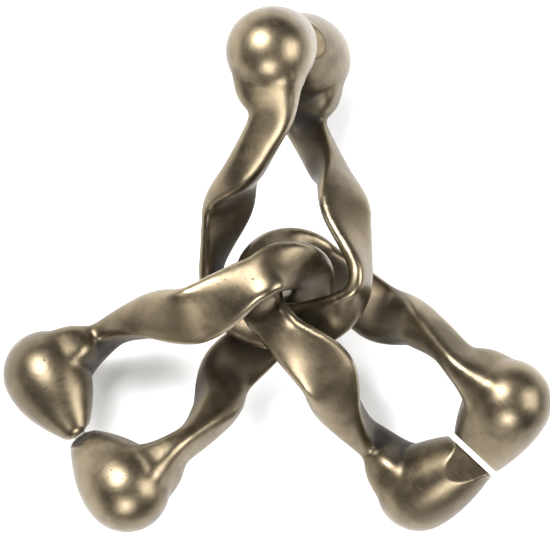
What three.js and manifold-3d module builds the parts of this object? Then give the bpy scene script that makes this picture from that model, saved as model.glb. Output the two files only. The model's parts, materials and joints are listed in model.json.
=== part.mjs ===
// Three cast rings, each a twisted C with two bulbous heads, hooked through one another.
// They share one band; the noses of two are blunt, and those of the third are drawn to points.
import * as THREE from 'three';
import { ParametricGeometry } from 'three/addons/geometries/ParametricGeometry.js';
import { mergeVertices } from 'three/addons/utils/BufferGeometryUtils.js';
import Module from 'manifold-3d';

const wasm = await Module();
wasm.setup();

// One ring, in its own frame: +Y runs from the bend to the gap, the heads lie at +X and -X.
const headRadius = 7.1;
const headOut = 12.5;
const headAlong = 48.5;
const gapWidth = 0.9;
const gapSlant = 35;
const bluntNose = { radius: 4.0, along: 51.2 };
const pointedNose = { radius: 1.2, along: 50 };
const cutSize = 24;
const flatHeight = 2.6;
const squareness = 0.6;

// The bend is half an ellipse across the long axis. From its ends each arm runs on to a head, and on the
// way it turns about the long axis by bodyTurn degrees, so the heads lie nearly square to the bend.
const bendAlong = 4;
const sideAlong = 13;
const sideOut = 13;
const bendWide = 4;
const bendThick = 1.5;
const bendStations = 3;
const bodyTurn = 95;
const turnStart = 20;
const turnEnd = 36;

// The rest of an arm: 'along' and 'out' place the section, 'wide' and 'thick' are its half sizes.
const arm = [
  { along: 24, out: 9.5, wide: 5, thick: 1.5 },
  { along: 30, out: 9.5, wide: 3.5, thick: 3 },
  { along: 37, out: 12, wide: 2, thick: 3.5 },
  { along: 43, out: 12.5, wide: 4.2, thick: 5.5 },
  { along: headAlong, out: headOut, wide: 6, thick: 6 }
];

// Where the three rings lie: heading of the long axis, roll about it, tip of it, the ring's origin,
// and the shape of its noses.
const rings = [
  { name: 'ring_top', heading: 89, roll: 75, tip: 0, at: [1.5, -12.5, 0.5], nose: bluntNose },
  { name: 'ring_left', heading: 215, roll: 25, tip: 3, at: [9, 2.5, 3.5], nose: pointedNose },
  { name: 'ring_right', heading: 317, roll: 35, tip: -1, at: [-4.5, 5, -2], nose: bluntNose }
];

const bandSteps = 60;
const sectionSteps = 14;
const headSegments = 18;
const arcSteps = 8;
const noseSteps = 6;
const bronze = { color: 0x8d7a58, roughness: 0.38, metalness: 0.9 };

const rad = THREE.MathUtils.degToRad;

function triangleSolid(geometry) {
  geometry.deleteAttribute('normal');
  geometry.deleteAttribute('uv');
  const merged = mergeVertices(geometry, 1e-4);
  const index = merged.getIndex().array;
  const kept = [];
  for (let i = 0; i < index.length; i += 3) {
    const [a, b, c] = index.slice(i, i + 3);
    if (a !== b && b !== c && c !== a) kept.push(a, b, c);
  }
  const vertProperties = new Float32Array(merged.getAttribute('position').array);
  const mesh = new wasm.Mesh({ numProp: 3, vertProperties, triVerts: new Uint32Array(kept) });
  return new wasm.Manifold(mesh);
}

// Stations of one half of the band, from the middle of the bend to the head.
function halfBand() {
  const half = [];
  for (let i = 0; i <= bendStations; i++) {
    const angle = Math.PI / 2 * i / bendStations;
    const along = sideAlong - (sideAlong - bendAlong) * Math.cos(angle);
    half.push({ along, out: sideOut * Math.sin(angle), wide: bendWide, thick: bendThick });
  }
  half.push(...arm);
  return half.map((s) => {
    const turn = bodyTurn * (1 - THREE.MathUtils.smoothstep(s.along, turnStart, turnEnd));
    // the section keeps its direction as the arm turns, and lies square to the axis at the bend
    const twist = -turn * Math.min(s.out / sideOut, 1) ** 2;
    return { ...s, turn, twist };
  });
}

// The whole band as one list of stations, the second arm being the first turned half round +Y.
function bandCurves() {
  const [middle, ...half] = halfBand();
  const other = half.map((s) => ({ ...s, out: -s.out, twist: -s.twist })).reverse();
  const all = [...other, middle, ...half];
  const path = all.map((s) => new THREE.Vector3(s.along, s.out, rad(s.turn)));
  const section = all.map((s) => new THREE.Vector3(s.wide, s.thick, rad(s.twist)));
  return {
    path: new THREE.CatmullRomCurve3(path, false, 'catmullrom', 0.5),
    section: new THREE.CatmullRomCurve3(section, false, 'catmullrom', 0.5)
  };
}

function bandCentre(curve, t) {
  const p = curve.getPoint(THREE.MathUtils.clamp(t, 0, 1));
  return new THREE.Vector3(p.y * Math.cos(p.z), p.x, p.y * Math.sin(p.z));
}

// Section axes at t: 'outward' away from the ring's long axis, 'across' square to the ring's face.
function bandFrame(path, t) {
  const step = 1e-3;
  const ahead = bandCentre(path, t + step);
  const tangent = ahead.sub(bandCentre(path, t - step)).normalize();
  const turn = path.getPoint(t).z;
  const across = new THREE.Vector3(-Math.sin(turn), 0, Math.cos(turn));
  across.addScaledVector(tangent, -across.dot(tangent)).normalize();
  const outward = new THREE.Vector3().crossVectors(tangent, across);
  return { outward, across };
}

function rounded(value) {
  return Math.sign(value) * Math.abs(value) ** squareness;
}

function makeBand() {
  const { path, section } = bandCurves();
  const place = (around, t, target) => {
    const centre = bandCentre(path, t);
    const { outward, across } = bandFrame(path, t);
    const { x: wide, y: thick, z: twist } = section.getPoint(t);
    const open = t > 0 && t < 1 ? 1 : 0;
    const angle = -2 * Math.PI * around;
    const x = open * wide * rounded(Math.cos(angle));
    const y = open * thick * rounded(Math.sin(angle));
    const side = x * Math.cos(twist) - y * Math.sin(twist);
    const up = x * Math.sin(twist) + y * Math.cos(twist);
    target.copy(centre).addScaledVector(outward, side).addScaledVector(across, up);
  };
  return triangleSolid(new ParametricGeometry(place, sectionSteps, bandSteps));
}

// A half ball whose front is drawn out, in a curve, into a nose that reaches past the middle of the gap.
function makeHead(side, nose) {
  const reach = new THREE.Vector3(-side * headOut, nose.along - headAlong, 0);
  const noseLength = reach.length() + gapWidth;
  const profile = [new THREE.Vector2(0, -headRadius)];
  for (let i = 1; i <= arcSteps; i++) {
    const angle = Math.PI / 2 * (1 - i / arcSteps);
    profile.push(new THREE.Vector2(headRadius * Math.cos(angle), -headRadius * Math.sin(angle)));
  }
  for (let i = 1; i <= noseSteps; i++) {
    const share = Math.cos(Math.PI / 2 * i / noseSteps);
    const radius = nose.radius + (headRadius - nose.radius) * share;
    profile.push(new THREE.Vector2(radius, noseLength * i / noseSteps));
  }
  profile.push(new THREE.Vector2(0, noseLength));
  const geometry = new THREE.LatheGeometry(profile, headSegments);
  const up = new THREE.Vector3(0, 1, 0);
  const turn = new THREE.Quaternion().setFromUnitVectors(up, reach.normalize());
  geometry.applyQuaternion(turn);
  geometry.translate(side * headOut, headAlong, 0);
  return triangleSolid(geometry);
}

// Cutters are made square to the gap, then slanted with it.
function makeCutter(nose, width, x, z) {
  const geometry = new THREE.BoxGeometry(width, cutSize, cutSize);
  geometry.translate(x, 0, z);
  geometry.rotateY(-rad(gapSlant));
  geometry.translate(0, nose.along, 0);
  return triangleSolid(geometry);
}

// The small flat beside the gap: on the front of one nose and on the back of the other.
function makeFlatCut(nose, side) {
  const lift = flatHeight + cutSize / 2;
  return makeCutter(nose, headOut, side * headOut / 2, side * lift);
}

function makeRing(nose) {
  let solid = makeBand();
  for (const side of [1, -1]) {
    const head = makeHead(side, nose).subtract(makeFlatCut(nose, side));
    solid = solid.add(head);
  }
  solid = solid.subtract(makeCutter(nose, gapWidth, 0, 0));
  const mesh = solid.getMesh();
  const geometry = new THREE.BufferGeometry();
  geometry.setAttribute('position', new THREE.BufferAttribute(mesh.vertProperties, 3));
  geometry.setIndex(new THREE.BufferAttribute(mesh.triVerts, 1));
  return geometry;
}

function placeRing(ring) {
  const mesh = new THREE.Mesh(makeRing(ring.nose), new THREE.MeshStandardMaterial(bronze));
  mesh.name = ring.name;
  mesh.rotation.set(rad(ring.tip), rad(ring.roll), rad(ring.heading - 90), 'ZXY');
  mesh.position.fromArray(ring.at);
  mesh.updateMatrix();
  return mesh;
}

// The group lies on one head of each ring, its three lower heads level with each other.
function layDown(puzzle) {
  const [a, b, c] = puzzle.children.map((mesh) => {
    return new THREE.Vector3(headOut, headAlong, 0).applyMatrix4(mesh.matrix);
  });
  const normal = b.sub(a).cross(c.sub(a)).normalize();
  puzzle.quaternion.setFromUnitVectors(normal, new THREE.Vector3(0, 0, 1));
  const box = new THREE.Box3().setFromObject(puzzle, true);
  const middle = box.getCenter(new THREE.Vector3());
  puzzle.position.set(-middle.x, -middle.y, -box.min.z);
}

const puzzle = new THREE.Group();
for (const ring of rings) puzzle.add(placeRing(ring));
layDown(puzzle);

export default puzzle;
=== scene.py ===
import json
import math
import bpy
import numpy as np
from mathutils import Matrix, Vector


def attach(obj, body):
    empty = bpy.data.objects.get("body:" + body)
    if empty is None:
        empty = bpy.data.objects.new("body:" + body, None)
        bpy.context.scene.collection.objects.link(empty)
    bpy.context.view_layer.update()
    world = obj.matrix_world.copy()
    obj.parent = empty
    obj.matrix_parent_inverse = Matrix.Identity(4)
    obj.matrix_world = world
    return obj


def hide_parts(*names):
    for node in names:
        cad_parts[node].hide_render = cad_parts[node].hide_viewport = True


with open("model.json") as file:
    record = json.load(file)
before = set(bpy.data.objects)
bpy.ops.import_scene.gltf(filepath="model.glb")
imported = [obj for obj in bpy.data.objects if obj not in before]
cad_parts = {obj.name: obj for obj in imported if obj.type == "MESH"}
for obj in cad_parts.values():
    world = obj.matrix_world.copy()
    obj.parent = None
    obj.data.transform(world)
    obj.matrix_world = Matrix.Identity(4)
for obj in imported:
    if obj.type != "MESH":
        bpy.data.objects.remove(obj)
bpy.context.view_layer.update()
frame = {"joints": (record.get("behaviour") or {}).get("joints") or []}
mm = 0.001

# One ring in millimetres: +Y runs from the bend to the gap, the heads lie at +X and -X.
ringShape = {
    "headRadius": 7.1, "headOut": 12.5, "headAlong": 48.5,
    "gapWidth": 0.9, "gapSlant": 35,
    "cutSize": 24, "flatHeight": 2.6, "squareness": 0.6,
    "bandSteps": 360, "sectionSteps": 72, "headSegments": 96, "arcSteps": 24, "noseSteps": 24,
    "castVoxel": 0.34, "castSmoothing": 22, "finalVoxel": 0.24, "finalSmoothing": 3,
}

# Noses: radius of the end, and how far along the ring the gap is.
bluntNose = {"radius": 4.0, "along": 51.2}
pointedNose = {"radius": 1.2, "along": 50.0}

# The band: a bend that is half an ellipse, then arms that turn about the long axis by bodyTurn degrees.
bandShape = {"bendAlong": 4, "sideAlong": 13, "sideOut": 13, "wide": 4, "thick": 1.5, "bendStations": 3,
             "bodyTurn": 95, "turnStart": 20, "turnEnd": 36}

# The rest of an arm: place of the section along and out from the long axis, half width, half thickness.
armStations = [
    (24, 9.5, 5, 1.5),
    (30, 9.5, 3.5, 3),
    (37, 12, 2, 3.5),
    (43, 12.5, 4.2, 5.5),
    (ringShape["headAlong"], ringShape["headOut"], 6, 6),
]

# How each ring lies in the puzzle: heading of its long axis, roll about it, tip of it, and its origin
# and its noses.
ringPoses = {
    "ring_top": {"body": "top", "slot": "bronze_top", "heading": 89, "roll": 75, "tip": 0,
                 "at": (1.5, -12.5, 0.5), "nose": "blunt", "shade": 0.0},
    "ring_left": {"body": "left", "slot": "bronze_left", "heading": 215, "roll": 25, "tip": 3,
                  "at": (9, 2.5, 3.5), "nose": "pointed", "shade": 17.0},
    "ring_right": {"body": "right", "slot": "bronze_right", "heading": 317, "roll": 35, "tip": -1,
                   "at": (-4.5, 5, -2), "nose": "blunt", "shade": 41.0},
}


def curvePoint(points, t):
    # a Catmull-Rom curve through all the points
    last = len(points) - 1
    along = min(max(t, 0.0), 1.0) * last
    start = min(int(along), last - 1)
    w = along - start
    p1, p2 = points[start], points[start + 1]
    p0 = points[start - 1] if start > 0 else 2 * p1 - p2
    p3 = points[start + 2] if start + 2 <= last else 2 * p2 - p1
    t1, t2 = 0.5 * (p2 - p0), 0.5 * (p3 - p1)
    return p1 + w * t1 + w ** 2 * (3 * (p2 - p1) - 2 * t1 - t2) + w ** 3 * (2 * (p1 - p2) + t1 + t2)


def smoothStep(value, low, high):
    share = min(max((value - low) / (high - low), 0), 1)
    return share * share * (3 - 2 * share)


def bandPoints():
    # half the band from the middle of the bend to the head, then the same turned half round the long axis
    band = bandShape
    half = []
    for i in range(band["bendStations"] + 1):
        angle = math.pi / 2 * i / band["bendStations"]
        along = band["sideAlong"] - (band["sideAlong"] - band["bendAlong"]) * math.cos(angle)
        half.append((along, band["sideOut"] * math.sin(angle), band["wide"], band["thick"]))
    points = []
    for along, out, wide, thick in half + armStations:
        turn = math.radians(band["bodyTurn"]) * (1 - smoothStep(along, band["turnStart"], band["turnEnd"]))
        # the section keeps its direction as the arm turns, and lies square to the axis at the bend
        twist = -turn * min(out / band["sideOut"], 1) ** 2
        points.append(np.array([along, out, turn, wide, thick, twist]))
    mirror = np.array([1, -1, 1, 1, 1, -1])
    return [point * mirror for point in reversed(points[1:])] + points


def bandCentre(points, t):
    along, out, turn = curvePoint(points, t)[:3]
    return np.array([out * math.cos(turn), along, out * math.sin(turn)])


def bandSection(points, t, shape):
    step = 1e-3
    tangent = bandCentre(points, t + step) - bandCentre(points, t - step)
    tangent /= np.linalg.norm(tangent)
    turn, wide, thick, twist = curvePoint(points, t)[2:]
    across = np.array([-math.sin(turn), 0, math.cos(turn)])
    across -= tangent * across.dot(tangent)
    across /= np.linalg.norm(across)
    outward = np.cross(tangent, across)
    angle = -2 * math.pi * np.arange(shape["sectionSteps"]) / shape["sectionSteps"]
    x = wide * np.sign(np.cos(angle)) * np.abs(np.cos(angle)) ** shape["squareness"]
    y = thick * np.sign(np.sin(angle)) * np.abs(np.sin(angle)) ** shape["squareness"]
    side = x * math.cos(twist) - y * math.sin(twist)
    up = x * math.sin(twist) + y * math.cos(twist)
    return bandCentre(points, t) + np.outer(side, outward) + np.outer(up, across)


def newMesh(name, verts, faces):
    mesh = bpy.data.meshes.new(name)
    mesh.from_pydata([tuple(v) for v in verts], [], faces)
    mesh.update()
    return mesh


def newObject(name, mesh):
    thing = bpy.data.objects.new(name, mesh)
    bpy.context.scene.collection.objects.link(thing)
    return thing


def gridFaces(rows, columns):
    faces = []
    for i in range(rows - 1):
        for j in range(columns):
            k = (j + 1) % columns
            faces.append((i * columns + j, i * columns + k, (i + 1) * columns + k, (i + 1) * columns + j))
    return faces


def makeBand(shape):
    points = bandPoints()
    rows = shape["bandSteps"] + 1
    columns = shape["sectionSteps"]
    verts = np.vstack([bandSection(points, i / (rows - 1), shape) for i in range(rows)])
    faces = gridFaces(rows, columns)
    faces.append(tuple(reversed(range(columns))))
    faces.append(tuple((rows - 1) * columns + j for j in range(columns)))
    return newObject("band", newMesh("band", verts, faces))


def makeHead(shape, nose, side):
    # a half ball whose front is drawn out, in a curve, into a nose that points at the gap
    reach = Vector((-side * shape["headOut"], nose["along"] - shape["headAlong"], 0))
    noseLength = reach.length + shape["gapWidth"]
    headRadius = shape["headRadius"]
    profile = []
    for i in range(1, shape["arcSteps"] + 1):
        angle = math.pi / 2 * (1 - i / shape["arcSteps"])
        profile.append((headRadius * math.cos(angle), -headRadius * math.sin(angle)))
    for i in range(1, shape["noseSteps"] + 1):
        share = math.cos(math.pi / 2 * i / shape["noseSteps"])
        radius = nose["radius"] + (headRadius - nose["radius"]) * share
        profile.append((radius, noseLength * i / shape["noseSteps"]))
    turn = Vector((0, 1, 0)).rotation_difference(reach.normalized()).to_matrix()
    place = Vector((side * shape["headOut"], shape["headAlong"], 0))
    columns = shape["headSegments"]
    verts = []
    for radius, height in profile:
        for j in range(columns):
            angle = 2 * math.pi * j / columns
            rim = Vector((radius * math.sin(angle), height, radius * math.cos(angle)))
            verts.append(turn @ rim + place)
    rows = len(profile)
    faces = gridFaces(rows, columns)
    faces.append(tuple(reversed(range(columns))))
    faces.append(tuple((rows - 1) * columns + j for j in range(columns)))
    return newObject("head", newMesh("head", verts, faces))


def makeCutter(shape, nose, width, x, z):
    # a block made square to the gap, then slanted with it
    half = shape["cutSize"] / 2
    slant = Matrix.Rotation(-math.radians(shape["gapSlant"]), 4, "Y")
    place = Matrix.Translation((0, nose["along"], 0)) @ slant @ Matrix.Translation((x, 0, z))
    corners = [(i * width / 2, j * half, k * half) for i in (-1, 1) for j in (-1, 1) for k in (-1, 1)]
    verts = [place @ Vector(c) for c in corners]
    faces = [(0, 1, 3, 2), (4, 6, 7, 5), (0, 4, 5, 1), (2, 3, 7, 6), (0, 2, 6, 4), (1, 5, 7, 3)]
    return newObject("cutter", newMesh("cutter", verts, faces))


def settle(thing):
    # replaces the object's mesh by the result of its modifiers
    result = thing.evaluated_get(bpy.context.evaluated_depsgraph_get())
    mesh = bpy.data.meshes.new_from_object(result)
    thing.modifiers.clear()
    thing.data = mesh
    return thing


def remesh(thing, voxel, smoothing):
    step = thing.modifiers.new("cast", "REMESH")
    step.mode = "VOXEL"
    step.voxel_size = voxel
    soften = thing.modifiers.new("soften", "SMOOTH")
    soften.factor = 0.5
    soften.iterations = smoothing
    return settle(thing)


def cut(thing, cutter):
    step = thing.modifiers.new("cut", "BOOLEAN")
    step.operation = "DIFFERENCE"
    step.solver = "EXACT"
    step.object = cutter
    settle(thing)
    bpy.data.objects.remove(cutter)


def joined(name, parts):
    verts, faces = [], []
    for part in parts:
        start = len(verts)
        verts += [v.co.copy() for v in part.data.vertices]
        faces += [[start + i for i in p.vertices] for p in part.data.polygons]
        bpy.data.objects.remove(part)
    return newObject(name, newMesh(name, verts, faces))


def relaxed(places, edges, count, rounds):
    # each point moved towards the middle of its neighbours, again and again
    ends = np.concatenate([edges[:, 0], edges[:, 1]])
    others = np.concatenate([edges[:, 1], edges[:, 0]])
    share = np.bincount(ends, minlength=count).clip(1)[:, None]
    for _ in range(rounds):
        total = np.stack([np.bincount(ends, places[others, k], count) for k in range(3)], axis=1)
        places = 0.5 * places + 0.5 * total / share
    return places


def addMask(mesh, name, values):
    mask = mesh.attributes.new(name, "FLOAT", "POINT")
    mask.data.foreach_set("value", np.clip(values, 0, 1).astype(np.float32))


# How the wear masks are read from the shape: smoothing rounds, and gains per millimetre of height.
wear = {"fineRounds": 30, "broadRounds": 220, "fineGain": 9, "broadGain": 1.1, "wornFloor": 0.12}


def markWearAndShade(mesh):
    # hollow: fine and broad recesses, for patina; worn: edges that hands rub; walls that face the long
    # axis: painted shade on the inner walls
    count = len(mesh.vertices)
    places = np.zeros(count * 3)
    mesh.vertices.foreach_get("co", places)
    places = places.reshape(-1, 3)
    normals = np.zeros(count * 3)
    mesh.vertices.foreach_get("normal", normals)
    normals = normals.reshape(-1, 3)
    edges = np.zeros(len(mesh.edges) * 2, int)
    mesh.edges.foreach_get("vertices", edges)
    edges = edges.reshape(-1, 2)
    fine = relaxed(places, edges, count, wear["fineRounds"])
    broad = relaxed(fine, edges, count, wear["broadRounds"])
    fineBend = ((fine - places) * normals).sum(1)
    broadBend = ((broad - places) * normals).sum(1)
    axisward = -places * np.array([1, 0, 1])
    axisward /= np.linalg.norm(axisward, axis=1)[:, None] + 1e-6
    addMask(mesh, "hollow", fineBend * wear["fineGain"] + broadBend * wear["broadGain"])
    addMask(mesh, "worn", -fineBend * wear["fineGain"] - wear["wornFloor"])
    # painted shade: this mask darkens the walls that face the long axis, the inside of the ring
    addMask(mesh, "innerShade", (normals * axisward).sum(1))


def makeRing(shape, nose):
    parts = [makeBand(shape), makeHead(shape, nose, 1), makeHead(shape, nose, -1)]
    ring = remesh(joined("casting", parts), shape["castVoxel"], shape["castSmoothing"])
    for side in (1, -1):
        lift = shape["flatHeight"] + shape["cutSize"] / 2
        cut(ring, makeCutter(shape, nose, shape["headOut"], side * shape["headOut"] / 2, side * lift))
    cut(ring, makeCutter(shape, nose, shape["gapWidth"], 0, 0))
    remesh(ring, shape["finalVoxel"], shape["finalSmoothing"])
    markWearAndShade(ring.data)
    ring.data.transform(Matrix.Scale(mm, 4))
    places = np.zeros(len(ring.data.vertices) * 3, np.float32)
    ring.data.vertices.foreach_get("co", places)
    ring.data.attributes.new("place", "FLOAT_VECTOR", "POINT").data.foreach_set("vector", places)
    ring.data.polygons.foreach_set("use_smooth", [True] * len(ring.data.polygons))
    print("ring mesh:", len(ring.data.polygons), "faces")
    return ring


def ringMatrix(pose):
    turn = Matrix.Rotation(math.radians(pose["heading"] - 90), 4, "Z")
    tip = Matrix.Rotation(math.radians(pose["tip"]), 4, "X")
    roll = Matrix.Rotation(math.radians(pose["roll"]), 4, "Y")
    return Matrix.Translation(Vector(pose["at"]) * mm) @ turn @ tip @ roll


def groupMatrix():
    # turns the puzzle onto its three lower heads, then moves it to where the hinge of ring_top stands
    low = Vector((ringShape["headOut"], ringShape["headAlong"], 0)) * mm
    a, b, c = [ringMatrix(pose) @ low for pose in ringPoses.values()]
    normal = (b - a).cross(c - a).normalized()
    turn = normal.rotation_difference(Vector((0, 0, 1))).to_matrix().to_4x4()
    hinge = next(j for j in frame["joints"] if j["child"] == "top")
    origin = Vector(ringPoses["ring_top"]["at"]) * mm
    return Matrix.Translation(Vector(hinge["pos_m"]) - turn @ origin) @ turn


class Wire:
    # a socket of a material, with the arithmetic that its maths needs
    def __init__(self, maker, socket):
        self.maker = maker
        self.socket = socket

    def math(self, operation, first, second):
        return self.maker.node("ShaderNodeMath", {"operation": operation}, {0: first, 1: second})

    def __add__(self, other):
        return self.math("ADD", self, other)

    def __radd__(self, other):
        return self.math("ADD", other, self)

    def __sub__(self, other):
        return self.math("SUBTRACT", self, other)

    def __rsub__(self, other):
        return self.math("SUBTRACT", other, self)

    def __mul__(self, other):
        return self.math("MULTIPLY", self, other)

    def __rmul__(self, other):
        return self.math("MULTIPLY", other, self)


class Maker:
    def __init__(self, name):
        self.material = bpy.data.materials.new(name)
        self.material.use_nodes = True
        self.tree = self.material.node_tree
        self.tree.nodes.clear()

    def node(self, kind, settings=None, sockets=None, out=0):
        made = self.tree.nodes.new(kind)
        for name, value in (settings or {}).items():
            setattr(made, name, value)
        for name, value in (sockets or {}).items():
            if isinstance(value, Wire):
                self.tree.links.new(value.socket, made.inputs[name])
            else:
                made.inputs[name].default_value = value
        return Wire(self, made.outputs[out]) if len(made.outputs) else None

    def ramp(self, value, low, high):
        # 0 below low, 1 above high
        return self.node("ShaderNodeMapRange", {"interpolation_type": "SMOOTHSTEP"},
                         {"Value": value, "From Min": low, "From Max": high})

    def mask(self, name):
        return self.node("ShaderNodeAttribute", {"attribute_name": name}, out="Fac")

    def noise(self, where, scale, detail, shift, stretch=(1, 1, 1)):
        place = self.node("ShaderNodeVectorMath", {"operation": "MULTIPLY"},
                          {0: where, 1: tuple(s * scale for s in stretch)})
        moved = self.node("ShaderNodeVectorMath", {"operation": "ADD"},
                          {0: place, 1: (shift, shift, shift)})
        return self.node("ShaderNodeTexNoise", {}, {"Vector": moved, "Scale": 1.0, "Detail": detail})

    def mix(self, share, first, second):
        sockets = {"Factor": share, 6: first, 7: second}
        return self.node("ShaderNodeMix", {"data_type": "RGBA"}, sockets, out=2)


# Antique bronze. Noise scales are per metre, depths in metres.
bronzeLook = {
    "gold": (0.165, 0.132, 0.086, 1), "olive": (0.088, 0.070, 0.046, 1),
    "umber": (0.012, 0.0095, 0.0075, 1), "bright": (0.30, 0.25, 0.17, 1), "roughness": 0.40,
    "cloudScale": 70, "mottleScale": 420, "pitScale": 2100, "grainScale": 9000, "brushScale": 1400,
    "pitDepth": 0.00010, "grainDepth": 0.000008, "rippleDepth": 0.00012,
    "pitFrom": 0.735, "pitTo": 0.775, "patinaShadeFrom": 0.50, "patinaShadeTo": 1.20,
    "rubbedShare": 0.3, "darkShare": 0.94, "darkDullness": 0.35,
}


def bronzeMaterial(name, shift, look):
    make = Maker(name)
    where = make.node("ShaderNodeAttribute", {"attribute_name": "place"}, out="Vector")
    cloud = make.noise(where, look["cloudScale"], 4, shift)
    mottle = make.noise(where, look["mottleScale"], 5, shift + 5)
    pitNoise = make.noise(where, look["pitScale"], 1, shift + 9)
    grain = make.noise(where, look["grainScale"], 2, shift)
    brush = make.noise(where, look["brushScale"], 4, shift, (3.0, 0.25, 3.0))
    pitZone = make.ramp(make.noise(where, look["cloudScale"] * 2, 2, shift + 21), 0.42, 0.62)
    pits = make.ramp(pitNoise, look["pitFrom"], look["pitTo"]) * pitZone
    hollow = make.mask("hollow")
    worn = make.mask("worn")
    innerShade = make.mask("innerShade")
    # patina in the recesses plus painted shade on the inner walls, with random tone from the noises
    patinaAndShadeLevel = hollow * 0.75 + innerShade * 0.75 + mottle * 0.26 + cloud * 0.30
    patinaShadeMask = make.ramp(patinaAndShadeLevel, look["patinaShadeFrom"], look["patinaShadeTo"])
    dark = make.node("ShaderNodeMath", {"operation": "MAXIMUM"}, {0: patinaShadeMask, 1: pits})
    body = make.mix(make.ramp(cloud * 0.6 + mottle * 0.4, 0.36, 0.62), look["olive"], look["gold"])
    rubbed = make.mix(worn * look["rubbedShare"], body, look["bright"])
    # the umber darkening is patina and pits, and painted shade on the inner walls
    colour = make.mix(dark * look["darkShare"], rubbed, look["umber"])
    roughness = look["roughness"] + (brush - 0.5) * 0.22 + (mottle - 0.5) * 0.10 + dark * 0.16 - worn * 0.08
    ripple = make.node("ShaderNodeBump", {}, {
        "Strength": 0.5, "Distance": look["rippleDepth"], "Height": cloud})
    fine = make.node("ShaderNodeBump", {}, {"Strength": 0.6, "Distance": look["grainDepth"],
                                            "Height": grain + brush, "Normal": ripple})
    dents = make.node("ShaderNodeBump", {}, {"Strength": 0.8, "Distance": look["pitDepth"],
                                             "Height": 1 - pits, "Normal": fine})
    shader = make.node("ShaderNodeBsdfPrincipled", {}, {
        "Base Color": colour, "Metallic": 1 - dark * look["darkDullness"],
        "Roughness": roughness, "Normal": dents})
    make.node("ShaderNodeOutputMaterial", {}, {"Surface": shader})
    return make.material


# Room: sizes in metres, powers in watts
studio = {"floorSize": 3.0, "floorColour": (0.93, 0.93, 0.93, 1), "worldStrength": 0.10,
          "viewDistance": 0.7, "viewWidth": 0.09}
softboxes = {
    "key": {"at": (-0.42, 0.34, 0.60), "size": 0.40, "power": 15.0},
    "fill": {"at": (0.52, 0.02, 0.50), "size": 0.45, "power": 6.5},
    "front": {"at": (-0.12, -0.55, 0.48), "size": 0.30, "power": 5.5},
}


def makeRoom(group):
    half = studio["floorSize"] / 2
    corners = [(-half, -half, 0), (half, -half, 0), (half, half, 0), (-half, half, 0)]
    floor = newObject("floor", newMesh("floor", corners, [(0, 1, 2, 3)]))
    paper = Maker("palePaper")
    shader = paper.node("ShaderNodeBsdfPrincipled", {}, {
        "Base Color": studio["floorColour"], "Roughness": 0.9})
    paper.node("ShaderNodeOutputMaterial", {}, {"Surface": shader})
    floor.data.materials.append(paper.material)
    for name, box in softboxes.items():
        data = bpy.data.lights.new(name, "AREA")
        data.size = box["size"]
        data.energy = box["power"]
        light = newObject(name, data)
        light.location = box["at"]
        light.rotation_euler = (-Vector(box["at"])).to_track_quat("-Z", "Y").to_euler()
    world = bpy.data.worlds.new("room")
    bpy.context.scene.world = world
    world.use_nodes = True
    world.node_tree.nodes["Background"].inputs["Color"].default_value = (1, 1, 1, 1)
    world.node_tree.nodes["Background"].inputs["Strength"].default_value = studio["worldStrength"]
    data = bpy.data.cameras.new("camera")
    data.lens = data.sensor_width * studio["viewDistance"] / studio["viewWidth"]
    camera = newObject("camera", data)
    camera.matrix_world = group @ Matrix.Translation((0, 0, studio["viewDistance"]))
    bpy.context.scene.camera = camera
    bpy.context.scene.view_settings.view_transform = "Standard"
    print("room, lights and camera made")


group = groupMatrix()
makeRoom(group)
castings = {"blunt": makeRing(ringShape, bluntNose), "pointed": makeRing(ringShape, pointedNose)}
for name, pose in ringPoses.items():
    piece = newObject(name + "_casting", castings[pose["nose"]].data.copy())
    piece.data.transform(group @ ringMatrix(pose))
    piece.data.materials.clear()
    piece.data.materials.append(bronzeMaterial(pose["slot"], pose["shade"], bronzeLook))
    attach(piece, pose["body"])
    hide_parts(name)
    print("placed", name)
for casting in castings.values():
    bpy.data.objects.remove(casting)
